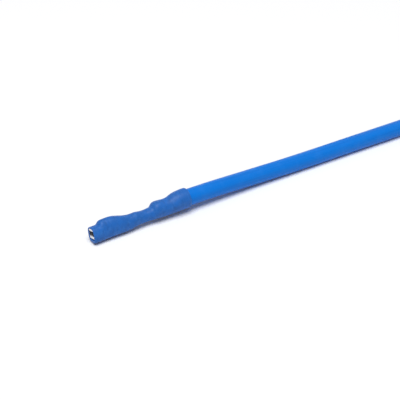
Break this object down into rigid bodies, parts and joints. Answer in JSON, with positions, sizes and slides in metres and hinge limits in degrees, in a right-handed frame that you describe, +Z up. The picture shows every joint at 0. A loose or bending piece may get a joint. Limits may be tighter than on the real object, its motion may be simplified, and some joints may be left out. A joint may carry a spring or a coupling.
{
  "type": "female crimp terminal",
  "caption": "Straight wire lead with a small folded female crimp terminal on its end, under a close-fitting blue heat-shrink sleeve.",
  "frame": {"origin": "middle of the receptacle's mouth, in the plane of the folded tongues", "axes": "+X back along the terminal towards the wire, +Z up from the surface that the lead lies on, +Y across. The wire holds the terminal rolled 16 degrees about X, its top towards +Y"},
  "size_m": [0.0996, 0.0133, 0.0037],
  "materials": {
    "tinned_strip": "bright tin plating",
    "strands": "tinned copper strands",
    "sleeve_blue": "satin shrunk sleeve",
    "insulation_blue": "smooth satin-gloss insulation"
  },
  "bodies": {
    "root": {"contact_terminal": "tinned_strip", "conductor": "strands", "heat_shrink_sleeve": "sleeve_blue", "insulated_wire": "insulation_blue"}
  },
  "joints": []
}
